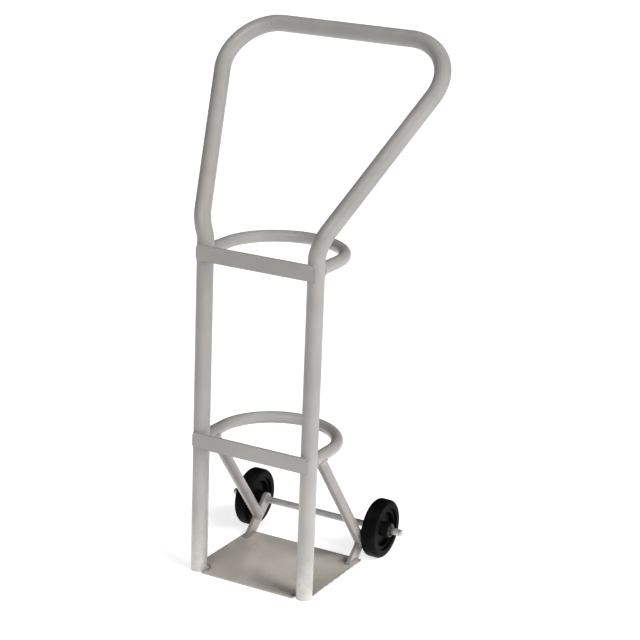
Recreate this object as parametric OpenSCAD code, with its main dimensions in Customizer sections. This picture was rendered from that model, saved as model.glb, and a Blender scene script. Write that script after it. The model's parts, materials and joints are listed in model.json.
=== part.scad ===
// Gas cylinder trolley: one bent tube frame, two cylinder hoops, a base plate and two wheels.
// Millimetres. X is across, +Y is to the rear where the wheels are, +Z is up.
// The origin is the centre of the base plate's underside, on the floor.

/* [Frame tube] */
// Outside diameter of the frame tube
tube_d = 38; // [34:0.5:42]
// Wall of the frame tube
tube_wall = 2.5; // [1.5:0.1:4]
// Distance between the axes of the two uprights
upright_spacing = 280; // [250:1:320]
// Height at which the axes of an upright and its flared arm meet
flare_z = 795; // [790:1:840]
// Height from there to where the arms lean back
lean_rise = 38; // [37:1:60]
// Rise of the handle, from there to the axis of the top bar
handle_rise = 387; // [340:1:430]
// Reach of the handle behind the uprights, axis to axis
handle_reach = 354; // [300:1:380]
// Distance between the points where the arms' axes meet the top bar's axis
handle_span = 621; // [570:1:670]
// Bend radius where an arm flares out from its upright, on the tube's axis
flare_bend_r = 50; // [40:1:54]
// Bend radius where an arm leans back, on the tube's axis
lean_bend_r = 65; // [45:1:66]
// Bend radius at the corners of the top bar, on the tube's axis
corner_bend_r = 109; // [60:1:125]
// Thinning of a tube's wall at a bend, on each of its faces
bend_thinning = 0.15; // [0.1:0.01:0.3]

/* [Crossbars] */
// Height of the flat bar's section
bar_h = 36; // [25:1:45]
// Thickness of the flat bar
bar_t = 5; // [3:0.5:8]
// Distance of a bar's ends inside the outer sides of the uprights
bar_end_inset = 9; // [0:0.5:14]
// Corner radius at a bar's ends
bar_corner_r = 8; // [3:0.5:12]
// Height of the middle of the lower crossbar and hoop
lower_ring_z = 324; // [280:1:380]
// Height of the middle of the upper crossbar and hoop
upper_ring_z = 762; // [650:1:765]

/* [Hoops] */
// Outside diameter of the hoop tube
hoop_d = 28; // [22:0.5:32]
// Wall of the hoop tube
hoop_wall = 2; // [1.5:0.1:3]
// Reach of a hoop behind the uprights, axis to axis
hoop_reach = 232; // [200:1:270]

/* [Base plate] */
// Depth of the base plate, front to rear
plate_depth = 269; // [262:1:290]
// Distance of the plate's sides inside the outer sides of the uprights
plate_side_inset = 5; // [0:0.5:8]
// Thickness of the base plate
plate_t = 4; // [3:0.5:8]
// Corner radius at the rear of the base plate
plate_corner_r = 6; // [3:0.5:10]

/* [Braces] */
// Outside diameter of a brace tube
brace_d = 26; // [20:0.5:28]
// Wall of a brace tube
brace_wall = 2; // [1.5:0.1:3]
// Distance from an upright's axis back to where the axes of brace and hoop meet
brace_top_back = 44; // [40:1:70]
// Height at which the axes of a brace and its axle leg meet
brace_foot_z = 40; // [34:1:46]

/* [Axle legs] */
// Width of the flat bar of an axle leg
leg_w = 32; // [28:1:36]
// Thickness of the flat bar of an axle leg
leg_t = 8; // [5:0.5:10]
// Distance from the plate's rear edge forward to the middle of a leg's foot
leg_foot_inset = 25; // [25:1:32]

/* [Axle] */
// Diameter of the axle rod
axle_d = 16; // [14:0.5:18]
// Length of the axle rod
axle_len = 460; // [450:1:500]
// Distance from the uprights' axes back to the axle
axle_back = 300; // [295:1:320]
// Chamfer at the axle's ends
axle_chamfer = 1.5; // [0.5:0.1:3]

/* [Wheels] */
// Diameter of a wheel over its tyre
wheel_d = 140; // [130:1:160]
// Width of the tyre
tyre_w = 36; // [30:1:40]
// Radius of the tyre's shoulders
tyre_shoulder_r = 9; // [5:0.5:12]
// Height of the wheels above the floor while the base plate stands on it
wheel_lift = 1; // [1:0.5:5]
// Gap between a tyre and the brace beside it
tyre_gap = 2; // [2:0.5:6]
// Diameter of the rim under the tyre
rim_d = 94; // [86:1:100]
// Height of the rim's flanges
flange_h = 4; // [2:0.5:6]
// Thickness of a rim flange
flange_t = 3; // [2:0.5:4]
// Width of the rim over its flanges
rim_w = 25; // [20:1:27]
// Thickness of the rim band
rim_t = 5; // [3:0.5:7]
// Thickness of the hub's disc
disc_t = 6; // [4:0.5:9]
// Diameter of the hub's boss
boss_d = 36; // [32:1:42]
// Wall of the hub bush
bush_wall = 3; // [2:0.5:5]
// Running clearance between the bush and the axle, on the radius
bush_clearance = 0.08; // [0.04:0.01:0.1]

/* [Washers and split pins] */
// Outside diameter of a washer
washer_d = 30; // [26:1:34]
// Thickness of a washer
washer_t = 2.5; // [1.5:0.5:4]
// End play between a hub and each of its washers
end_play = 0.3; // [0.2:0.05:0.6]
// Diameter of the split pin's two half-round legs together
pin_d = 3.8; // [3:0.1:4.5]
// Inside diameter of the split pin's eye
pin_eye_d = 4.4; // [3:0.1:7]
// Straight length of the split pin between the axle and its eye
pin_neck = 0.5; // [0.2:0.1:3]
// Bend radius of the split pin's ends, on the flat of the wire
pin_bend_r = 2.6; // [2.4:0.1:4]
// Length of each splayed end of the split pin
pin_splay = 6; // [4:0.5:10]
// Gap between the split pin's legs, and round them in the axle's hole
pin_slack = 0.1; // [0.05:0.01:0.2]

/* [Hidden] */
$fn = 96;

// Spare length of a cutting shape beyond what it cuts
over = 1;
// Angle by which a bend laps into the wall of the run after it
lap_angle = 0.2;

paint = [0.73, 0.72, 0.70];
plate_paint = [0.64, 0.62, 0.60];
zinc = [0.70, 0.71, 0.73];
rubber = [0.06, 0.06, 0.06];
hub_black = [0.11, 0.11, 0.12];
bush_grey = [0.55, 0.54, 0.50];

tube_r = tube_d / 2;
side_x = upright_spacing / 2;
frame_w = upright_spacing + tube_d;
plate_w = frame_w - 2 * plate_side_inset;
plate_front_y = -plate_depth / 2;
plate_rear_y = plate_depth / 2;
upright_y = plate_front_y + tube_r;

axle_y = upright_y + axle_back;
axle_z = wheel_d / 2 + wheel_lift;
leg_foot = [plate_rear_y - leg_foot_inset, plate_t];
leg_top = [axle_y, axle_z];
leg_lean = atan2(leg_top.x - leg_foot.x, leg_top.y - leg_foot.y);
// The brace starts on the hoop's axis and ends on the leg's axis
brace_top = [side_x, upright_y + brace_top_back, lower_ring_z];
brace_foot = [side_x, leg_foot.x + (brace_foot_z - leg_foot.y) * tan(leg_lean), brace_foot_z];

// Along the axle, from the outer face of a leg outwards
leg_face_x = side_x + leg_t / 2;
inner_washer_x = leg_face_x;
hub_in_x = inner_washer_x + washer_t + end_play;
wheel_x = side_x + brace_d / 2 + tyre_gap + tyre_w / 2;
hub_len = 2 * (wheel_x - hub_in_x);
outer_washer_x = hub_in_x + hub_len + end_play;
pin_hole_d = pin_d + 2 * pin_slack;
pin_x = outer_washer_x + washer_t + pin_hole_d / 2;

bush_d = axle_d + 2 * bush_clearance;
boss_bore_d = bush_d + 2 * bush_wall;

function unit(v) = v / norm(v);
function setback(radius, angle) = radius * tan(angle / 2);
// Roll about b that turns the plane of a bend from a to b into the plane of a bend from b to c
function roll(a, b, c) = let (p = cross(a, b), q = cross(b, c)) atan2(b * cross(p, q), p * q);

// The ring that a tube is drawn with
module section(d, wall) {
    difference() {
        circle(d = d);
        circle(d = d - 2 * wall);
    }
}

// A straight tube from a to b
module straight(a, b, d, wall) {
    v = b - a;
    translate(a)
        rotate([0, acos(v.z / norm(v)), atan2(v.y, v.x)])
            linear_extrude(norm(v)) section(d, wall);
}

// A tube drawn the way a bender makes it, from the origin along +Z. Each step is a straight run,
// a roll about the tube's axis, a bend angle towards -X and a bend radius. A bend laps into the
// wall of the next run.
module bent_tube(steps, d, wall, i = 0) {
    run = steps[i][0];
    roll = steps[i][1];
    angle = steps[i][2];
    radius = steps[i][3];
    linear_extrude(run) section(d, wall);
    if (angle > 0)
        translate([0, 0, run]) rotate([0, 0, roll]) translate([-radius, 0, 0]) {
            rotate([90, 0, 0]) rotate_extrude(angle = angle + lap_angle)
                translate([radius, 0]) section(d - 2 * bend_thinning, wall - 2 * bend_thinning);
            rotate([0, -angle, 0]) translate([radius, 0, 0]) bent_tube(steps, d, wall, i + 1);
        }
}

// Both uprights as solid rods, to cope other pieces to the frame
module upright_cutters(d) {
    for (side = [-1, 1])
        translate([side * side_x, upright_y, -over]) cylinder(d = d, h = flare_z);
}

// A piece of the right side, or its mirror image on the left
module on_side(side) {
    mirror([side < 0 ? 1 : 0, 0, 0]) children();
}

// A turned piece whose own axis is Z, moved to the axle with +Z outwards at height x
module on_axle(x) {
    translate([x, axle_y, axle_z]) rotate([0, 90, 0]) children();
}

// The handle is a flat flared loop that leans back. Each half runs from the middle of the top bar,
// round the corner, down the arm, through the bend of the lean and the bend of the flare, and down
// the upright.
module frame_tube() {
    loop_len = lean_rise + norm([handle_reach, handle_rise]);
    flare = atan((handle_span / 2 - side_x) / loop_len);
    arm = [handle_span / 2 - side_x - lean_rise * tan(flare), handle_reach, handle_rise];
    bar_way = [1, 0, 0];
    arm_way = -unit(arm);
    flare_way = [-sin(flare), 0, -cos(flare)];
    upright_way = [0, 0, -1];
    corner = acos(bar_way * arm_way);
    lean = acos(arm_way * flare_way);
    corner_cut = setback(corner_bend_r, corner);
    lean_cut = setback(lean_bend_r, lean);
    flare_cut = setback(flare_bend_r, flare);
    arm_run = norm(arm) - corner_cut - lean_cut;
    flare_run = lean_rise / cos(flare) - lean_cut - flare_cut;
    color(paint)
        for (half = [0, 1]) mirror([half, 0, 0])
            translate([0, upright_y + handle_reach, flare_z + lean_rise + handle_rise])
                rotate([atan2(arm.y, -arm.z), 0, 0]) rotate([0, 90, 0])
                    bent_tube(
                        [
                            [handle_span / 2 - corner_cut, 0, corner, corner_bend_r],
                            [arm_run, roll(bar_way, arm_way, flare_way), lean, lean_bend_r],
                            [flare_run, roll(arm_way, flare_way, upright_way), flare, flare_bend_r],
                            [flare_z - flare_cut, 0, 0, 0]
                        ],
                        tube_d, tube_wall
                    );
}

// A flat bar with round corners
module crossbar(z) {
    length = frame_w - 2 * bar_end_inset;
    flat = [length - 2 * bar_corner_r, bar_h - 2 * bar_corner_r];
    color(paint)
        translate([0, upright_y - tube_r, z]) rotate([90, 0, 0]) linear_extrude(bar_t) {
            square([flat.x, bar_h], center = true);
            square([length, flat.y], center = true);
            for (x = [-1, 1], y = [-1, 1])
                translate([x * flat.x, y * flat.y] / 2) circle(bar_corner_r);
        }
}

module hoop(z) {
    leg_run = hoop_reach - side_x;
    color(paint) difference() {
        translate([side_x, upright_y, z]) rotate([-90, 0, 0])
            bent_tube([[leg_run, 0, 180, side_x], [leg_run, 0, 0, 0]], hoop_d, hoop_wall);
        upright_cutters(tube_d);
    }
}

// The front corners are notched so that the uprights' feet stand in them
module base_plate() {
    color(plate_paint) difference() {
        linear_extrude(plate_t) plate_outline();
        upright_cutters(tube_d);
    }
}

module plate_outline() {
    rear_x = plate_w / 2 - plate_corner_r;
    notch_x = side_x - tube_r;
    difference() {
        union() {
            translate([-plate_w / 2, plate_front_y]) square([plate_w, plate_depth - plate_corner_r]);
            translate([-rear_x, plate_rear_y - 2 * plate_corner_r])
                square([2 * rear_x, 2 * plate_corner_r]);
            for (side = [-1, 1])
                translate([side * rear_x, plate_rear_y - plate_corner_r]) circle(plate_corner_r);
        }
        for (side = [0, 1]) mirror([side, 0]) {
            translate([notch_x, plate_front_y - over]) square([tube_d + over, tube_r + over]);
            translate([side_x, plate_front_y - over]) square([tube_r + over, tube_d + over]);
        }
    }
}

// The top is coped to the hoop, and the foot is slotted over the axle leg
module brace() {
    reach = brace_d + leg_w;
    color(paint) difference() {
        straight(brace_top, brace_foot, brace_d, brace_wall);
        translate([side_x, upright_y, lower_ring_z])
            rotate([-90, 0, 0]) cylinder(d = hoop_d, h = brace_top_back + reach);
        axle_leg_blank();
        translate([side_x, brace_foot.y, brace_foot.z])
            rotate([-leg_lean, 0, 0])
                translate([-reach, 0, -reach]) cube([2 * reach, reach, 2 * reach]);
    }
}

// The flat bar of a leg before it is drilled, round at the axle and cut off along the plate
module axle_leg_blank() {
    run = norm(leg_top - leg_foot) + leg_w;
    difference() {
        translate([side_x - leg_t / 2, leg_top.x, leg_top.y])
            rotate([-leg_lean, 0, 0]) rotate([90, 0, 90]) linear_extrude(leg_t) {
                circle(d = leg_w);
                translate([-leg_w / 2, -run]) square([leg_w, run]);
            }
        translate([side_x - leg_w, leg_foot.x - run, plate_t - run]) cube([2 * leg_w, 2 * run, run]);
    }
}

module axle_leg() {
    color(paint) difference() {
        axle_leg_blank();
        on_axle(side_x - leg_t) cylinder(d = axle_d, h = 2 * leg_t);
    }
}

module axle() {
    end_r = axle_d / 2 - axle_chamfer;
    color(zinc) difference() {
        translate([0, axle_y, axle_z]) rotate([0, 90, 0]) {
            translate([0, 0, axle_chamfer - axle_len / 2])
                cylinder(d = axle_d, h = axle_len - 2 * axle_chamfer);
            for (end = [0, 1]) mirror([0, 0, end])
                translate([0, 0, axle_len / 2 - axle_chamfer])
                    cylinder(r1 = axle_d / 2, r2 = end_r, h = axle_chamfer);
        }
        for (side = [-1, 1])
            translate([side * pin_x, axle_y, axle_z - axle_d]) cylinder(d = pin_hole_d, h = 2 * axle_d);
    }
}

module washer(x) {
    color(zinc) on_axle(x) linear_extrude(washer_t) difference() {
        circle(d = washer_d);
        circle(d = axle_d);
    }
}

// The half-round wire of the split pin, flat towards -X
module pin_wire() {
    intersection() {
        circle(d = pin_d);
        translate([pin_slack / 2, -pin_d]) square([pin_d, 2 * pin_d]);
    }
}

// One half-round wire, folded into an eye and two legs through the axle, whose ends are bent out
module split_pin() {
    leg_top = axle_d / 2 + pin_neck + pin_d / 4;
    leg_foot = -axle_d / 2 - pin_slack;
    eye_r = pin_eye_d / 2;
    eye_z = axle_d / 2 + pin_neck + pin_d / 2 + eye_r;
    color(zinc) translate([pin_x, axle_y, axle_z]) {
        difference() {
            union() {
                translate([0, 0, leg_foot]) cylinder(d = pin_d, h = leg_top - leg_foot);
                translate([0, 0, eye_z]) rotate([0, 90, 0])
                    rotate_extrude() translate([eye_r, 0]) pin_wire();
            }
            translate([-pin_d, -pin_slack / 2, leg_foot - over])
                cube([2 * pin_d, pin_slack, eye_z - leg_foot + over]);
        }
        for (leg = [0, 1]) mirror([0, leg, 0])
            translate([0, pin_bend_r, leg_foot]) rotate([-90, 0, 0]) rotate([0, 90, 0]) {
                rotate_extrude(angle = 90) bent_pin_wire();
                rotate([0, 0, 90]) translate([0, pin_splay, 0]) rotate([90, 0, 0])
                    linear_extrude(pin_splay) bent_pin_wire();
            }
    }
}

module bent_pin_wire() {
    translate([pin_bend_r, 0]) mirror([1, 0]) pin_wire();
}

// Half of the tyre's section: a seat between the rim flanges, then the full width with round shoulders
module tyre_section() {
    seat_r = rim_d / 2;
    side_r = seat_r + flange_h;
    out_r = wheel_d / 2;
    round_r = out_r - tyre_shoulder_r;
    seat_w = rim_w - 2 * flange_t;
    translate([seat_r, -seat_w / 2]) square([out_r - tyre_shoulder_r - seat_r, seat_w]);
    translate([side_r, -tyre_w / 2]) square([round_r - side_r, tyre_w]);
    translate([round_r, tyre_shoulder_r - tyre_w / 2])
        square([tyre_shoulder_r, tyre_w - 2 * tyre_shoulder_r]);
    for (side = [-1, 1])
        translate([round_r, side * (tyre_w / 2 - tyre_shoulder_r)]) circle(tyre_shoulder_r);
}

module tyre() {
    color(rubber) on_axle(wheel_x) rotate_extrude() tyre_section();
}

// Boss, disc that is thicker at the boss, rim band and two flanges
module hub_section() {
    boss_r = boss_d / 2;
    rim_r = rim_d / 2;
    band_r = rim_r - rim_t;
    seat_w = rim_w - 2 * flange_t;
    upper = [
        [boss_bore_d / 2, hub_len / 2],
        [boss_r, hub_len / 2],
        [boss_r, disc_t],
        [band_r, disc_t / 2],
        [band_r, rim_w / 2],
        [rim_r + flange_h, rim_w / 2],
        [rim_r + flange_h, seat_w / 2],
        [rim_r, seat_w / 2]
    ];
    lower = [for (i = [len(upper) - 1:-1:0]) [upper[i].x, -upper[i].y]];
    polygon(concat(upper, lower));
}

module wheel_hub() {
    color(hub_black) on_axle(wheel_x) rotate_extrude() hub_section();
}

module hub_bush() {
    color(bush_grey) on_axle(hub_in_x) linear_extrude(hub_len) difference() {
        circle(d = boss_bore_d);
        circle(d = bush_d);
    }
}

frame_tube();
crossbar(upper_ring_z);  // upper_crossbar
crossbar(lower_ring_z);  // lower_crossbar
hoop(upper_ring_z);  // upper_hoop
hoop(lower_ring_z);  // lower_hoop
base_plate();
on_side(-1) brace();  // left_brace
on_side(1) brace();  // right_brace
on_side(-1) axle_leg();  // left_axle_leg
on_side(1) axle_leg();  // right_axle_leg
axle();
on_side(-1) washer(inner_washer_x);  // left_inner_washer
on_side(1) washer(inner_washer_x);  // right_inner_washer
on_side(-1) washer(outer_washer_x);  // left_outer_washer
on_side(1) washer(outer_washer_x);  // right_outer_washer
on_side(-1) split_pin();  // left_split_pin
on_side(1) split_pin();  // right_split_pin
on_side(-1) tyre();  // left_tyre
on_side(1) tyre();  // right_tyre
on_side(-1) wheel_hub();  // left_wheel_hub
on_side(1) wheel_hub();  // right_wheel_hub
on_side(-1) hub_bush();  // left_hub_bush
on_side(1) hub_bush();  // right_hub_bush
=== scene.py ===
import json
import math

import bmesh
import bpy
from mathutils import Matrix, Vector, noise


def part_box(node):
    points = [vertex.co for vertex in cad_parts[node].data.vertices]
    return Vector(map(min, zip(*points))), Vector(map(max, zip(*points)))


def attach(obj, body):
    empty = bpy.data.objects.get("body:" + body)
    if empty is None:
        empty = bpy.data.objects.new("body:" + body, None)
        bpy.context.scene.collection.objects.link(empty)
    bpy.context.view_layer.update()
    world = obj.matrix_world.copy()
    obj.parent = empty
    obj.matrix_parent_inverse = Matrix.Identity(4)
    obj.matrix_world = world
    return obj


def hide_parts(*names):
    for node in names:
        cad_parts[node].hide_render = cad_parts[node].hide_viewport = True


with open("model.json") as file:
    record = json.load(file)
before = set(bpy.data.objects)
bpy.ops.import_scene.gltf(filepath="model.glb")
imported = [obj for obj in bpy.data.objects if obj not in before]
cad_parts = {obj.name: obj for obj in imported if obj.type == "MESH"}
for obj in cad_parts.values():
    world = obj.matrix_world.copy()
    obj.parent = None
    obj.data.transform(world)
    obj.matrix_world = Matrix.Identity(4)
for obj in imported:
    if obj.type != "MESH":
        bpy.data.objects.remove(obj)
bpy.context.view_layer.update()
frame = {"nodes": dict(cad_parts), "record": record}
nodes = frame["nodes"]
scene = bpy.context.scene
print("frame loaded with", len(nodes), "nodes")

# The tube's radius, and places that paint, tube and beads share, from the CAD's own boxes
tubeRadius = 0.019
hoopRadius = (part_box("upper_hoop")[1][2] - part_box("upper_hoop")[0][2]) / 2
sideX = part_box("upper_hoop")[1][0] - hoopRadius
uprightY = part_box("frame_tube")[0][1] + tubeRadius
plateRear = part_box("base_plate")[1][1]
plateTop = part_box("base_plate")[1][2]
axleMiddle = [(a + b) / 2 for a, b in zip(*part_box("axle"))]
rodRadius = (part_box("axle")[1][2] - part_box("axle")[0][2]) / 2
legHalf = (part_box("right_axle_leg")[1][0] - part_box("right_axle_leg")[0][0]) / 2


# Small helpers for shader nodes
def feed(tree, socket, value):
    if hasattr(value, "is_output"):
        tree.links.new(value, socket)
    else:
        socket.default_value = value


def addNode(tree, kind, inputs=None, **settings):
    made = tree.nodes.new(kind)
    for name, value in settings.items():
        setattr(made, name, value)
    for name, value in (inputs or {}).items():
        feed(tree, made.inputs[name], value)
    return made


def mathNode(tree, operation, a, b=0.0, clamp=False):
    made = addNode(tree, "ShaderNodeMath", {0: a, 1: b}, operation=operation, use_clamp=clamp)
    return made.outputs[0]


def vectorNode(tree, operation, *vectors):
    inputs = dict(enumerate(vectors))
    return addNode(tree, "ShaderNodeVectorMath", inputs, operation=operation).outputs


def splitNode(tree, vector):
    return addNode(tree, "ShaderNodeSeparateXYZ", {0: vector}).outputs


def ramp(tree, value, low, high, outLow=0.0, outHigh=1.0):
    made = addNode(tree, "ShaderNodeMapRange", {
        "Value": value, "From Min": low, "From Max": high, "To Min": outLow, "To Max": outHigh,
    }, interpolation_type="SMOOTHSTEP")
    return made.outputs["Result"]


# A Mix node for colours takes its factor at 0 and its two colours at 6 and 7
def mixColour(tree, factor, a, b):
    return addNode(tree, "ShaderNodeMix", {0: factor, 6: a, 7: b}, data_type="RGBA").outputs[2]


def noiseNode(tree, vector, scale, detail, roughness=0.55):
    made = addNode(tree, "ShaderNodeTexNoise", {
        "Vector": vector, "Scale": scale, "Detail": detail, "Roughness": roughness,
    })
    return made.outputs["Fac"]


def patches(tree, place, look):
    cloud = noiseNode(tree, place, look["scale"], look["detail"])
    return ramp(tree, cloud, *look["between"], *look["share"])


def objectCoords(tree):
    return tree.nodes.new("ShaderNodeTexCoord").outputs["Object"]


def surfaceNormal(tree):
    return tree.nodes.new("ShaderNodeNewGeometry").outputs["Normal"]


def newGroup(name, inputs, outputs):
    tree = bpy.data.node_groups.new(name, "ShaderNodeTree")
    for label, value in inputs.items():
        kind = "NodeSocketVector" if isinstance(value, tuple) else "NodeSocketFloat"
        tree.interface.new_socket(label, in_out="INPUT", socket_type=kind).default_value = value
    for label in outputs:
        tree.interface.new_socket(label, in_out="OUTPUT", socket_type="NodeSocketFloat")
    return tree, tree.nodes.new("NodeGroupInput").outputs, tree.nodes.new("NodeGroupOutput").inputs


def useGroup(tree, group, **inputs):
    return addNode(tree, "ShaderNodeGroup", inputs, node_tree=group).outputs


# Edge wear: a mask where the surface turns sharply, broken up by noise
wearLook = {
    "samples": 4,
    "turn": (0.02, 0.25),
    "detail": 5.0,
    "roughness": 0.65,
    "broken": (0.30, 0.42),
}


def edgeWearGroup():
    inputs = {"Width": 0.002, "Amount": 0.5, "Patch": 120.0}
    tree, given, result = newGroup("edgeWear", inputs, ["Mask"])
    rounded = addNode(tree, "ShaderNodeBevel", {"Radius": given["Width"]}, samples=wearLook["samples"])
    same = vectorNode(tree, "DOT_PRODUCT", rounded.outputs[0], surfaceNormal(tree))["Value"]
    edge = ramp(tree, mathNode(tree, "SUBTRACT", 1.0, same), *wearLook["turn"])
    cloud = noiseNode(tree, objectCoords(tree), given["Patch"], wearLook["detail"], wearLook["roughness"])
    broken = ramp(tree, mathNode(tree, "MULTIPLY", edge, cloud), *wearLook["broken"])
    tree.links.new(mathNode(tree, "MULTIPLY", broken, given["Amount"], True), result["Mask"])
    return tree


# Dust and floor dirt, with painted light from the floor mixed in low down: more near the floor and on
# faces that look up
dustAndBounceLook = {
    "faceUp": (0.35, 0.95),
    "lowShare": 0.6,
    "roughness": 0.68,
    "clouds": (0.30, 0.72),
}


def dustAndBounceGroup():
    inputs = {"Height": 0.2, "Settled": 0.3, "Patch": 30.0, "Detail": 6.0}
    tree, given, result = newGroup("dustAndBounce", inputs, ["Mask"])
    place = objectCoords(tree)
    height = mathNode(tree, "DIVIDE", splitNode(tree, place)["Z"], given["Height"])
    low = mathNode(tree, "SUBTRACT", 1.0, height, True)
    upward = ramp(tree, splitNode(tree, surfaceNormal(tree))["Z"], *dustAndBounceLook["faceUp"])
    top = mathNode(tree, "MULTIPLY", upward, given["Settled"])
    cloud = noiseNode(tree, place, given["Patch"], given["Detail"], dustAndBounceLook["roughness"])
    both = mathNode(tree, "ADD", mathNode(tree, "MULTIPLY", low, dustAndBounceLook["lowShare"]), top)
    mask = mathNode(tree, "MULTIPLY", both, ramp(tree, cloud, *dustAndBounceLook["clouds"]), True)
    tree.links.new(mask, result["Mask"])
    return tree


# Grain: fine relief and a slow change of shade, each with its own detail and roughness
grainLook = {"fine": (3.0, 0.5), "slow": (4.0, 0.6)}


def grainGroup():
    inputs = {"Fine": 400.0, "Slow": 7.0, "Along": (1.0, 1.0, 1.0)}
    tree, given, result = newGroup("grain", inputs, ["Relief", "Shade"])
    place = objectCoords(tree)
    stretched = vectorNode(tree, "MULTIPLY", place, given["Along"])["Vector"]
    tree.links.new(noiseNode(tree, stretched, given["Fine"], *grainLook["fine"]), result["Relief"])
    tree.links.new(noiseNode(tree, place, given["Slow"], *grainLook["slow"]), result["Shade"])
    return tree


edgeWear = edgeWearGroup()
dustAndBounce = dustAndBounceGroup()
grain = grainGroup()
noiseSpan = (0.3, 0.7)  # the part of its range that a noise mostly fills


def newMaterial(name):
    material = bpy.data.materials.new(name)
    material.use_nodes = True
    tree = material.node_tree
    return material, tree, tree.nodes["Principled BSDF"]


def bumpInto(tree, shader, height, distance):
    made = addNode(tree, "ShaderNodeBump", {"Height": height, "Distance": distance, "Strength": 1.0})
    tree.links.new(made.outputs[0], shader.inputs["Normal"])


# Light grey enamel over steel, with pale dust low down that is also painted light from the floor
enamel = {
    "colour": (0.333, 0.316, 0.304, 1),
    "shadeColour": (0.283, 0.279, 0.261, 1),
    "shadeScale": 6.0,
    "shadeBetween": (0.35, 0.68),
    "roughness": (0.27, 0.44),
    "roughBetween": (0.3, 0.75),
    "peel": 320.0,
    "peelDepth": 0.00007,
    "paleColour": (0.62, 0.575, 0.53, 1),
    "paleShare": 0.75,
    "dustRough": 0.3,
    "dustAndBounceHeight": 0.16,
    "dustSettled": 0.25,
    "dustPatch": 34.0,
    "dustDetail": 6.0,
    "chipColour": (0.12, 0.10, 0.085, 1),
    "chipWidth": 0.0025,
    "chipAmount": 0.75,
    "chipPatch": 140.0,
}


def enamelMaterial(name, finish):
    material, tree, shader = newMaterial(name)
    skin = useGroup(tree, grain, Fine=finish["peel"], Slow=finish["shadeScale"])
    # Paler low down and on faces that look up: dust, and on the frame also painted light from the floor
    paleMask = useGroup(tree, dustAndBounce, Height=finish["dustAndBounceHeight"], Settled=finish["dustSettled"],
                    Patch=finish["dustPatch"], Detail=finish["dustDetail"])["Mask"]
    chips = useGroup(tree, edgeWear, Width=finish["chipWidth"], Amount=finish["chipAmount"],
                     Patch=finish["chipPatch"])["Mask"]
    shaded = ramp(tree, skin["Shade"], *finish["shadeBetween"])
    paint = mixColour(tree, shaded, finish["colour"], finish["shadeColour"])
    paleAmount = mathNode(tree, "MULTIPLY", paleMask, finish["paleShare"])
    paint = mixColour(tree, paleAmount, paint, finish["paleColour"])
    paint = mixColour(tree, chips, paint, finish["chipColour"])
    rough = ramp(tree, skin["Shade"], *finish["roughBetween"], *finish["roughness"])
    rough = mathNode(tree, "ADD", rough, mathNode(tree, "MULTIPLY", paleMask, finish["dustRough"]), True)
    tree.links.new(rough, shader.inputs["Roughness"])
    bumpInto(tree, shader, mathNode(tree, "SUBTRACT", skin["Relief"], chips), finish["peelDepth"])
    return material, tree, shader, paint


# Braces and legs, low down between the wheels, are darkened by painted shade
braceShade = {
    "colour": (0.232, 0.217, 0.204, 1),
    "rear": (-0.085, -0.066),
    "under": (0.318, 0.298),
    "patches": {"scale": 26.0, "detail": 4.0, "between": (0.3, 0.65), "share": (0.7, 1.0)},
}


def frameMaterial():
    material, tree, shader, paint = enamelMaterial("frameEnamel", enamel)
    place = objectCoords(tree)
    at = splitNode(tree, place)
    # Painted shade on the braces and legs, low down towards the rear
    rear = ramp(tree, at["Y"], *braceShade["rear"])
    under = ramp(tree, at["Z"], *braceShade["under"])
    braceShadeMask = mathNode(tree, "MULTIPLY", rear, under)
    braceShadeMask = mathNode(tree, "MULTIPLY", braceShadeMask, patches(tree, place, braceShade["patches"]))
    tree.links.new(mixColour(tree, braceShadeMask, paint, braceShade["colour"]), shader.inputs["Base Color"])
    return material


framePaint = frameMaterial()

# The plate's enamel has yellowed to the right and the rear, and painted shade darkens it there too. It
# carries painted shade along the rims and on the front face, painted contact shade round the uprights,
# and a painted shadow in the corner by the right leg
plateEnamel = {
    **enamel,
    "colour": (0.68, 0.62, 0.58, 1),
    "shadeColour": (0.62, 0.563, 0.522, 1),
    "roughness": (0.14, 0.24),
    "metal": 0.22,
    "paleColour": (0.70, 0.643, 0.597, 1),
    "dustRough": 0.10,
    "dustAndBounceHeight": 0.4,
    "dustSettled": 0.3,
    "dustPatch": 14.0,
    "dustDetail": 2.0,
    "chipAmount": 0.8,
    "staleShadeColour": (0.50, 0.482, 0.405, 1),
    "staleShadeShare": 0.7,
    "staleShadeSide": (0.02, 0.15),
    "staleShadeRear": (0.085, 0.134),
    "staleShadePatches": {"scale": 9.0, "detail": 3.0, "between": (0.30, 0.6), "share": (0.25, 1.0)},
    "edgeShadeColour": (0.16, 0.145, 0.13, 1),
    "rimReach": (0.0035, 0.00105),
    "rimPatches": {"scale": 70.0, "detail": 4.0, "between": (0.30, 0.55), "share": (0.25, 0.8)},
    "frontFacing": (-0.5, -0.9),
    "frontShadeShare": 0.8,
    "contactShadeColour": (0.09, 0.075, 0.07, 1),
    "footShadeReach": (0.036, 0.019),
    "footShadePatches": {"scale": 90.0, "detail": 5.0, "between": (0.3, 0.6), "share": (0.4, 0.9)},
    "cornerShadowPlace": (0.127, 0.107, 0.0),
    "cornerShadowReach": (0.026, 0.004),
    "cornerShadowShare": 0.6,
}


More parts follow.
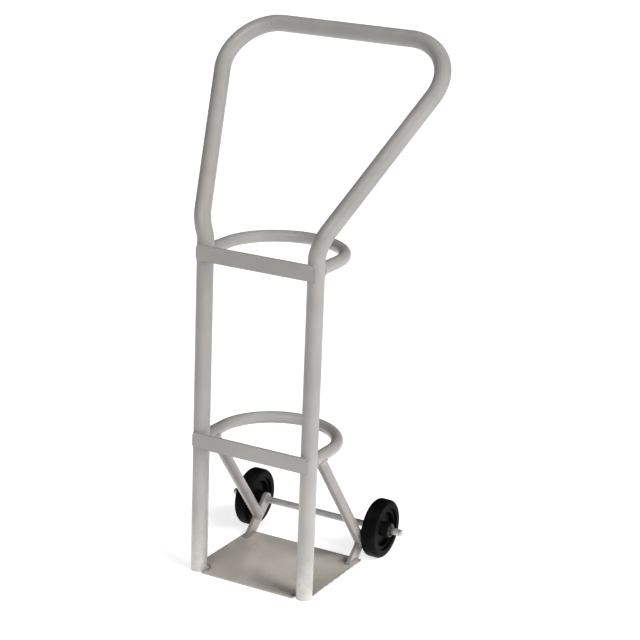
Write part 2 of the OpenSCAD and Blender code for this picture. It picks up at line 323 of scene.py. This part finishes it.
def plateMaterial():
    material, tree, shader, paint = enamelMaterial("plateEnamel", plateEnamel)
    place = objectCoords(tree)
    at = splitNode(tree, place)
    acrossX = mathNode(tree, "ABSOLUTE", at["X"])

    # Yellowed, and darker as painted shade, towards the right and the rear
    side = ramp(tree, at["X"], *plateEnamel["staleShadeSide"])
    rear = ramp(tree, at["Y"], *plateEnamel["staleShadeRear"])
    staleShade = mathNode(tree, "MAXIMUM", side, rear)
    staleShade = mathNode(tree, "MULTIPLY", staleShade, patches(tree, place, plateEnamel["staleShadePatches"]))
    staleShade = mathNode(tree, "MULTIPLY", staleShade, plateEnamel["staleShadeShare"])
    paint = mixColour(tree, staleShade, paint, plateEnamel["staleShadeColour"])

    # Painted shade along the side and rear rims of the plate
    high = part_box("base_plate")[1]
    rimX = ramp(tree, acrossX, *(high[0] - reach for reach in plateEnamel["rimReach"]))
    rimY = ramp(tree, at["Y"], *(high[1] - reach for reach in plateEnamel["rimReach"]))
    rim = mathNode(tree, "MAXIMUM", rimX, rimY)
    rim = mathNode(tree, "MULTIPLY", rim, patches(tree, place, plateEnamel["rimPatches"]))
    paint = mixColour(tree, rim, paint, plateEnamel["edgeShadeColour"])

    # Painted contact shade on the plate round the feet of the uprights
    folded = addNode(tree, "ShaderNodeCombineXYZ", {"X": acrossX, "Y": at["Y"]}).outputs[0]
    fromFoot = vectorNode(tree, "DISTANCE", folded, (sideX, uprightY, 0.0))["Value"]
    footShade = ramp(tree, fromFoot, *plateEnamel["footShadeReach"])
    footShade = mathNode(tree, "MULTIPLY", footShade, patches(tree, place, plateEnamel["footShadePatches"]))
    paint = mixColour(tree, footShade, paint, plateEnamel["contactShadeColour"])

    # A painted shadow of the right leg on the plate, beside its foot
    fromCorner = vectorNode(tree, "DISTANCE", place, plateEnamel["cornerShadowPlace"])["Value"]
    corner = ramp(tree, fromCorner, *plateEnamel["cornerShadowReach"], 0.0, plateEnamel["cornerShadowShare"])
    paint = mixColour(tree, corner, paint, plateEnamel["contactShadeColour"])

    # Painted shade on the plate's faces that look forward
    facing = splitNode(tree, surfaceNormal(tree))["Y"]
    front = ramp(tree, facing, *plateEnamel["frontFacing"], 0.0, plateEnamel["frontShadeShare"])
    paint = mixColour(tree, front, paint, plateEnamel["edgeShadeColour"])
    tree.links.new(paint, shader.inputs["Base Color"])
    shader.inputs["Metallic"].default_value = plateEnamel["metal"]
    return material


# Dull zinc on the axle, washers and pins, drawn along the rod, with grease and painted shade inside the
# hubs
zinc = {
    "colour": (0.47, 0.46, 0.45, 1),
    "shadeColour": (0.38, 0.372, 0.36, 1),
    "shadeScale": 45.0,
    "roughness": (0.38, 0.58),
    "metal": 0.5,
    "grain": 22.0,
    "grainDepth": 0.00005,
    "drawn": (2.0, 60.0, 60.0),
    "wornColour": (0.62, 0.62, 0.63, 1),
    "wornWidth": 0.0012,
    "wornAmount": 0.6,
    "wornPatch": 300.0,
    "greaseShadeColour": (0.035, 0.032, 0.029, 1),
    "greaseShadeShare": 0.95,
    "greaseShadeInner": (0.142, 0.147),
    "greaseShadeOuter": (0.217, 0.202),
}


def zincMaterial():
    material, tree, shader = newMaterial("dullZinc")
    skin = useGroup(tree, grain, Fine=zinc["grain"], Slow=zinc["shadeScale"], Along=zinc["drawn"])
    worn = useGroup(tree, edgeWear, Width=zinc["wornWidth"], Amount=zinc["wornAmount"],
                    Patch=zinc["wornPatch"])["Mask"]
    shade = mixColour(tree, ramp(tree, skin["Shade"], *noiseSpan), zinc["colour"], zinc["shadeColour"])
    shade = mixColour(tree, worn, shade, zinc["wornColour"])
    # Grease and painted shade on the rod, washers and pins where they run inside the hubs
    along = mathNode(tree, "ABSOLUTE", splitNode(tree, objectCoords(tree))["X"])
    inner, outer = (ramp(tree, along, *zinc[name]) for name in ("greaseShadeInner", "greaseShadeOuter"))
    greaseShade = mathNode(tree, "MULTIPLY", mathNode(tree, "MULTIPLY", inner, outer), zinc["greaseShadeShare"])
    shade = mixColour(tree, greaseShade, shade, zinc["greaseShadeColour"])
    tree.links.new(shade, shader.inputs["Base Color"])
    rough = ramp(tree, skin["Relief"], *noiseSpan, *zinc["roughness"])
    tree.links.new(rough, shader.inputs["Roughness"])
    shader.inputs["Metallic"].default_value = zinc["metal"]
    bumpInto(tree, shader, skin["Relief"], zinc["grainDepth"])
    return material


# Black rubber and plastic of the wheels, with rings round the axle
wheelBlack = {
    "shadeScale": 22.0,
    "shadeBetween": (0.35, 0.7),
    "specular": 0.025,
    "ringPitch": 0.0024,
    "ringShare": 0.35,
    "paleColour": (0.06, 0.055, 0.05, 1),
    "paleShare": 0.07,
    "dustRough": 0.2,
    "dustBetween": (0.42, 0.75),
}
tyreRubber = {
    **wheelBlack,
    "colour": (0.0022, 0.0022, 0.0023, 1),
    "wornColour": (0.0045, 0.0044, 0.0043, 1),
    "roughness": (0.46, 0.66),
    "grain": 700.0,
    "grainDepth": 0.00012,
    "dustRadius": (0.062, 0.0702),
}
hubPlastic = {
    **wheelBlack,
    "colour": (0.0024, 0.0024, 0.0026, 1),
    "wornColour": (0.0046, 0.0046, 0.0048, 1),
    "roughness": (0.34, 0.5),
    "grain": 900.0,
    "grainDepth": 0.00005,
    "dustRadius": (0.050, 0.030),
}


def fromAxle(tree):
    centre = (0.0, -axleMiddle[1], -axleMiddle[2])
    inputs = {"Vector": objectCoords(tree), "Location": centre, "Scale": (0.0, 1.0, 1.0)}
    moved = addNode(tree, "ShaderNodeMapping", inputs)
    return vectorNode(tree, "LENGTH", moved.outputs[0])["Value"]


def wheelMaterial(name, finish):
    material, tree, shader = newMaterial(name)
    skin = useGroup(tree, grain, Fine=finish["grain"], Slow=finish["shadeScale"])
    radius = fromAxle(tree)
    worn = ramp(tree, skin["Shade"], *finish["shadeBetween"])
    shade = mixColour(tree, worn, finish["colour"], finish["wornColour"])
    paleMask = ramp(tree, radius, *finish["dustRadius"])
    paleMask = mathNode(tree, "MULTIPLY", paleMask, ramp(tree, skin["Shade"], *finish["dustBetween"]))
    paleAmount = mathNode(tree, "MULTIPLY", paleMask, finish["paleShare"])
    tree.links.new(mixColour(tree, paleAmount, shade, finish["paleColour"]), shader.inputs["Base Color"])
    rough = ramp(tree, skin["Shade"], *noiseSpan, *finish["roughness"])
    rough = mathNode(tree, "ADD", rough, mathNode(tree, "MULTIPLY", paleMask, finish["dustRough"]), True)
    tree.links.new(rough, shader.inputs["Roughness"])
    shader.inputs["Specular IOR Level"].default_value = finish["specular"]
    rings = mathNode(tree, "SINE", mathNode(tree, "MULTIPLY", radius, 2 * math.pi / finish["ringPitch"]))
    relief = mathNode(tree, "ADD", mathNode(tree, "MULTIPLY", rings, finish["ringShare"]), skin["Relief"])
    bumpInto(tree, shader, relief, finish["grainDepth"])
    return material


# Natural nylon of the bushes
nylon = {
    "colour": (0.52, 0.50, 0.45, 1),
    "shadeColour": (0.40, 0.38, 0.34, 1),
    "shadeScale": 60.0,
    "roughness": (0.4, 0.55),
    "grain": 500.0,
    "grainDepth": 0.00004,
}


def nylonMaterial():
    material, tree, shader = newMaterial("bushNylon")
    skin = useGroup(tree, grain, Fine=nylon["grain"], Slow=nylon["shadeScale"])
    shade = mixColour(tree, skin["Shade"], nylon["colour"], nylon["shadeColour"])
    tree.links.new(shade, shader.inputs["Base Color"])
    rough = ramp(tree, skin["Shade"], *noiseSpan, *nylon["roughness"])
    tree.links.new(rough, shader.inputs["Roughness"])
    bumpInto(tree, shader, skin["Relief"], nylon["grainDepth"])
    return material


finishes = {
    "frame_paint": framePaint,
    "plate_paint": plateMaterial(),
    "zinc_steel": zincMaterial(),
    "tyre_rubber": wheelMaterial("tyreRubber", tyreRubber),
    "hub_plastic": wheelMaterial("hubPlastic", hubPlastic),
    "bush_plastic": nylonMaterial(),
}
for part in frame["record"]["subparts"]:
    for slot in nodes[part["node"]].material_slots:
        slot.material = finishes[part["material_slot"]]
print("materials assigned")


def addPiece(name, mesh):
    mesh.materials.append(framePaint)
    mesh.shade_smooth()
    piece = bpy.data.objects.new(name, mesh)
    scene.collection.objects.link(piece)
    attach(piece, "frame")
    return piece


# The frame is one tube, bent in the order of a bender's schedule
frameTube = {
    "flareHeight": 0.795,
    "leanRise": 0.038,
    "handleRise": 0.387,
    "handleReach": 0.354,
    "handleSpan": 0.621,
    "bends": (0.050, 0.065, 0.109),
    "wall": 0.0025,
    "sides": 48,
    "turnStep": 3.0,
    "sharpAngle": 40.0,
}


def tubeCorners():
    slant = math.hypot(frameTube["handleRise"], frameTube["handleReach"])
    spread = (frameTube["handleSpan"] / 2 - sideX) / (frameTube["leanRise"] + slant)
    flare = Vector((sideX, uprightY, frameTube["flareHeight"]))
    lean = flare + Vector((spread, 0, 1)) * frameTube["leanRise"]
    top = lean + Vector((spread * slant, frameTube["handleReach"], frameTube["handleRise"]))
    half = [Vector((sideX, uprightY, 0)), flare, lean, top]
    return [Vector((-p.x, p.y, p.z)) for p in half] + half[::-1]


def pushRing(bm, edges, step):
    made = bmesh.ops.extrude_edge_only(bm, edges=edges)["geom"]
    bmesh.ops.translate(bm, verts=[v for v in made if isinstance(v, bmesh.types.BMVert)], vec=step)
    return [e for e in made if isinstance(e, bmesh.types.BMEdge) and len(e.link_faces) == 1]


def bentTube(name, corners, bends):
    bm = bmesh.new()
    ring = bmesh.ops.create_circle(bm, segments=frameTube["sides"], radius=tubeRadius)["verts"]
    bmesh.ops.translate(bm, verts=ring, vec=corners[0])
    edges = bm.edges[:]
    here = corners[0]
    for before, corner, after, bend in zip(corners, corners[1:], corners[2:], bends):
        way, turned = (corner - before).normalized(), (after - corner).normalized()
        angle = way.angle(turned)
        start = corner - way * bend * math.tan(angle / 2)
        edges = pushRing(bm, edges, start - here)
        axis = way.cross(turned).normalized()
        centre = start + axis.cross(way) * bend
        steps = max(2, round(math.degrees(angle) / frameTube["turnStep"]))
        spun = bmesh.ops.spin(bm, geom=edges, cent=centre, axis=axis, angle=angle, steps=steps)
        edges = [e for e in spun["geom_last"] if isinstance(e, bmesh.types.BMEdge)]
        here = corner + turned * bend * math.tan(angle / 2)
    pushRing(bm, edges, corners[-1] - here)
    bmesh.ops.recalc_face_normals(bm, faces=bm.faces)
    bmesh.ops.solidify(bm, geom=bm.faces[:], thickness=frameTube["wall"])
    mesh = bpy.data.meshes.new(name)
    bm.to_mesh(mesh)
    bm.free()
    return mesh


def makeFrameTube():
    bends = list(frameTube["bends"])
    mesh = bentTube("frameTube", tubeCorners(), bends + bends[::-1])
    piece = addPiece("frameTube", mesh)
    mesh.set_sharp_from_angle(angle=math.radians(frameTube["sharpAngle"]))
    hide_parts("frame_tube")
    print("frame tube bent from", len(mesh.polygons), "faces")


makeFrameTube()

# A bead is a row of overlapping scales, uneven as a hand lays them
bead = {
    "step": 0.0005,
    "pitch": 0.0021,
    "ripple": 0.16,
    "wander": 0.18,
    "wanderScale": 260.0,
    "endSize": 0.45,
    "resolution": 2,
}


def evenSteps(points, closed):
    loop = points + points[:1] if closed else points
    made = []
    for a, b in zip(loop[:-1], loop[1:]):
        count = max(1, round((b - a).length / bead["step"]))
        made += [a.lerp(b, i / count) for i in range(count)]
    return made if closed else made + [points[-1]]


def beadMesh(runs):
    curve = bpy.data.curves.new("beadRuns", "CURVE")
    curve.dimensions = "3D"
    curve.bevel_depth = 1.0
    curve.bevel_resolution = bead["resolution"]
    curve.use_fill_caps = True
    for points, closed, radius in runs:
        places = evenSteps(points, closed)
        last = len(places) - 1
        spline = curve.splines.new("POLY")
        spline.points.add(last)
        spline.use_cyclic_u = closed
        for i, (knot, place) in enumerate(zip(spline.points, places)):
            scale = (i * bead["step"] / bead["pitch"]) % 1.0
            uneven = noise.noise(place * bead["wanderScale"])
            fromEnd = min(i, last - i) * bead["step"] / (2 * radius)
            full = 1.0 if closed else min(1.0, bead["endSize"] + fromEnd)
            knot.co = (*place, 1.0)
            knot.radius = radius * full * (1 + bead["ripple"] * (0.5 - scale) + bead["wander"] * uneven)
    holder = bpy.data.objects.new("beadRuns", curve)
    scene.collection.objects.link(holder)
    mesh = bpy.data.meshes.new_from_object(holder.evaluated_get(bpy.context.evaluated_depsgraph_get()))
    bpy.data.objects.remove(holder)
    mesh.materials.clear()
    return mesh


def fullTurn(count):
    return [2 * math.pi * i / count for i in range(count)]


def partTurn(count, start, stop):
    return [start + (stop - start) * i / count for i in range(count + 1)]


# Hoop ends: a saddle round each one where it meets the upright
hoopBead = {"radius": 0.0030, "lift": 0.0008, "points": 72}


def hoopRuns():
    runs = []
    small = hoopRadius + hoopBead["lift"]
    big = tubeRadius + hoopBead["lift"]
    for node in ("upper_hoop", "lower_hoop"):
        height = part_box(node)[0][2] + hoopRadius
        for side in (-1, 1):
            saddle = []
            for t in fullTurn(hoopBead["points"]):
                across = small * math.cos(t)
                behind = uprightY + math.sqrt(big ** 2 - across ** 2)
                saddle.append(Vector((side * sideX + across, behind, height + small * math.sin(t))))
            runs.append((saddle, True, hoopBead["radius"]))
    return runs


# Crossbars: one bead round each end, in the crevice between the flat bar and the upright
barBead = {"radius": 0.0026, "reach": 0.011, "corner": 0.008, "cornerPoints": 8}


def barRuns():
    runs = []
    for node in ("upper_crossbar", "lower_crossbar"):
        low, high = (Vector(c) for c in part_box(node))
        middle, half = (low.z + high.z) / 2, (high.z - low.z) / 2
        bend = barBead["corner"]
        upper = [(sideX - barBead["reach"], half), (high.x - bend, half)]
        for t in partTurn(barBead["cornerPoints"], math.pi / 2, 0.0):
            upper.append((high.x - bend + bend * math.cos(t), half - bend + bend * math.sin(t)))
        outline = upper + [(x, -z) for x, z in reversed(upper)]
        for side in (-1, 1):
            run = []
            for x, z in outline:
                tubeFace = uprightY - math.sqrt(tubeRadius ** 2 - (x - sideX) ** 2)
                run.append(Vector((side * x, (high.y + tubeFace) / 2, middle + z)))
            runs.append((run, False, barBead["radius"]))
    return runs


# Braces: a saddle under the hoop, and both walls of the slot over the leg
braceBead = {
    "radius": 0.0026,
    "thick": 0.013,
    "topBack": 0.044,
    "footHeight": 0.040,
    "footInset": 0.025,
    "lift": 0.0008,
    "points": 60,
    "slotRadius": 0.00221,
    "slotLift": 0.0006,
    "slotEnds": (0.002, 0.015),
}


def legWay():
    foot = Vector((0, plateRear - braceBead["footInset"], plateTop))
    return foot, (Vector((0, axleMiddle[1], axleMiddle[2])) - foot).normalized()


def braceRuns():
    runs = []
    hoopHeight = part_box("lower_hoop")[0][2] + hoopRadius
    foot, up = legWay()
    top = Vector((0, uprightY + braceBead["topBack"], hoopHeight))
    end = foot + up * (braceBead["footHeight"] - plateTop) / up.z
    way = (end - top).normalized()
    back = Vector((0, -way.z, way.y))
    small = braceBead["thick"] + braceBead["lift"]
    big = hoopRadius + braceBead["lift"]
    slotHalf = math.sqrt(braceBead["thick"] ** 2 - legHalf ** 2)
    for side in (-1, 1):
        base = Vector((side * sideX, 0, 0))
        saddle = []
        for t in fullTurn(braceBead["points"]):
            ring = Vector((small * math.cos(t), 0, 0)) + back * small * math.sin(t)
            drop = math.sqrt(max(0.0, big ** 2 - ring.x ** 2))
            saddle.append(base + top + ring + way * ((-drop - ring.z) / way.z))
        runs.append((saddle, True, braceBead["radius"]))
        for face in (-1, 1):
            out = Vector((face * (legHalf + braceBead["slotLift"]), 0, 0))
            for edge in (-1, 1):
                near = base + end + back * edge * slotHalf + out
                run = [near - way * reach for reach in braceBead["slotEnds"]]
                runs.append((run, False, braceBead["slotRadius"]))
    return runs


# Axle legs: along the foot on the plate, and round the axle at the inner face
legBead = {
    "radius": 0.0034,
    "ends": (-0.0225, 0.0185),
    "out": 0.0012,
    "rise": 0.0010,
    "ringRadius": 0.0020,
    "ringOut": 0.0006,
    "ringLift": 0.0008,
    "ringPoints": 48,
}


def legRuns():
    runs = []
    foot = legWay()[0]
    reach = rodRadius + legBead["ringLift"]
    for side in (-1, 1):
        x = side * sideX
        for face in (-1, 1):
            place = Vector((x + face * (legHalf + legBead["out"]), foot.y, plateTop + legBead["rise"]))
            run = [place + Vector((0, along, 0)) for along in legBead["ends"]]
            runs.append((run, False, legBead["radius"]))
        inner = x - side * (legHalf + legBead["ringOut"])
        ring = []
        for t in fullTurn(legBead["ringPoints"]):
            y, z = axleMiddle[1] + reach * math.cos(t), axleMiddle[2] + reach * math.sin(t)
            ring.append(Vector((inner, y, z)))
        runs.append((ring, True, legBead["ringRadius"]))
    return runs


# Feet of the uprights: the quarter that stands in the plate's notch
footBead = {"radius": 0.0028, "out": 0.0006, "rise": 0.0008, "between": (88, 182), "points": 16}


def footRuns():
    runs = []
    reach = tubeRadius + footBead["out"]
    height = plateTop + footBead["rise"]
    for side in (-1, 1):
        arc = []
        for t in partTurn(footBead["points"], *(math.radians(a) for a in footBead["between"])):
            x, y = sideX + reach * math.cos(t), uprightY + reach * math.sin(t)
            arc.append(Vector((side * x, y, height)))
        runs.append((arc, False, footBead["radius"]))
    return runs


addPiece("hoopWelds", beadMesh(hoopRuns()))
addPiece("crossbarWelds", beadMesh(barRuns()))
addPiece("braceWelds", beadMesh(braceRuns()))
addPiece("axleLegWelds", beadMesh(legRuns()))
addPiece("footWelds", beadMesh(footRuns()))
print("weld beads laid")

# Pale floor and white surroundings, a key from the right, a rim from behind it and a fill from
# the front. Near the trolley the floor gives more light than the camera sees on it
studio = {
    "floorSize": 60.0,
    "floorColour": (0.60, 0.60, 0.60, 1),
    "floorRough": 0.9,
    "floorGlow": 0.70,
    "poolGlow": (1.50, 0.52),
    "poolReach": (0.25, 1.0),
    "ambient": 0.05,
    "suns": {
        "key": {"strength": 1.9, "from": (0.696, -0.123, 0.707), "spread": 22.0, "glossy": False},
        "rim": {"strength": 1.75, "from": (0.960, 0.085, 0.21), "spread": 40.0, "glossy": False},
        "fill": {"strength": 1.2, "from": (0.12, -0.78, 0.61), "spread": 40.0, "glossy": True},
    },
}


def cameraRay(tree):
    return tree.nodes.new("ShaderNodeLightPath").outputs["Is Camera Ray"]


def makeFloor():
    bm = bmesh.new()
    bmesh.ops.create_grid(bm, x_segments=1, y_segments=1, size=studio["floorSize"] / 2)
    mesh = bpy.data.meshes.new("floor")
    bm.to_mesh(mesh)
    bm.free()
    floor = bpy.data.objects.new("floor", mesh)
    scene.collection.objects.link(floor)
    material, tree, shader = newMaterial("paleFloor")
    shader.inputs["Base Color"].default_value = studio["floorColour"]
    shader.inputs["Roughness"].default_value = studio["floorRough"]
    shader.inputs["Specular IOR Level"].default_value = 0.0
    shader.inputs["Emission Color"].default_value = (1, 1, 1, 1)
    away = vectorNode(tree, "LENGTH", objectCoords(tree))["Value"]
    pool = ramp(tree, away, *studio["poolReach"], *studio["poolGlow"])
    # A Mix node for floats takes its two values at 2 and 3
    inputs = {0: cameraRay(tree), 2: pool, 3: studio["floorGlow"]}
    glow = addNode(tree, "ShaderNodeMix", inputs, data_type="FLOAT").outputs[0]
    tree.links.new(glow, shader.inputs["Emission Strength"])
    mesh.materials.append(material)


def addSun(name, sun):
    light = bpy.data.lights.new(name, "SUN")
    light.energy = sun["strength"]
    light.angle = math.radians(sun["spread"])
    lamp = bpy.data.objects.new(name, light)
    lamp.rotation_euler = Vector(sun["from"]).to_track_quat("Z", "Y").to_euler()
    lamp.visible_glossy = sun["glossy"]
    scene.collection.objects.link(lamp)


def makeLights():
    world = bpy.data.worlds.new("studio")
    scene.world = world
    world.use_nodes = True
    tree = world.node_tree
    background = tree.nodes["Background"]
    background.inputs["Color"].default_value = (1, 1, 1, 1)
    glow = ramp(tree, cameraRay(tree), 0.0, 1.0, studio["ambient"], 1.0)
    tree.links.new(glow, background.inputs["Strength"])
    for name, sun in studio["suns"].items():
        addSun(name, sun)


makeFloor()
makeLights()

# Camera at the photograph's viewpoint, from its own perspective
view = {
    "target": (0.1536, -0.1155, 0.6564),
    "azimuth": 28.68,
    "elevation": 17.14,
    "roll": 2.24,
    "distance": 4.1074,
    "focalPixels": 1916.5,
    "imagePixels": 640,
    "sensor": 36.0,
    "clipEnd": 200,
}


def makeCamera():
    azimuth, elevation, roll = (math.radians(view[k]) for k in ("azimuth", "elevation", "roll"))
    level = math.cos(elevation)
    back = Vector((math.sin(azimuth) * level, -math.cos(azimuth) * level, math.sin(elevation)))
    right = Vector((math.cos(azimuth), math.sin(azimuth), 0))
    turn = Matrix((right, back.cross(right), back)).transposed() @ Matrix.Rotation(roll, 3, "Z")
    place = Vector(view["target"]) + back * view["distance"]
    lens = bpy.data.cameras.new("photoView")
    lens.sensor_width = view["sensor"]
    lens.lens = view["focalPixels"] / view["imagePixels"] * view["sensor"]
    lens.clip_end = view["clipEnd"]
    camera = bpy.data.objects.new("photoView", lens)
    camera.matrix_world = Matrix.Translation(place) @ turn.to_4x4()
    scene.collection.objects.link(camera)
    scene.camera = camera


makeCamera()
scene.view_settings.view_transform = "Standard"
print("floor, lights and camera placed")
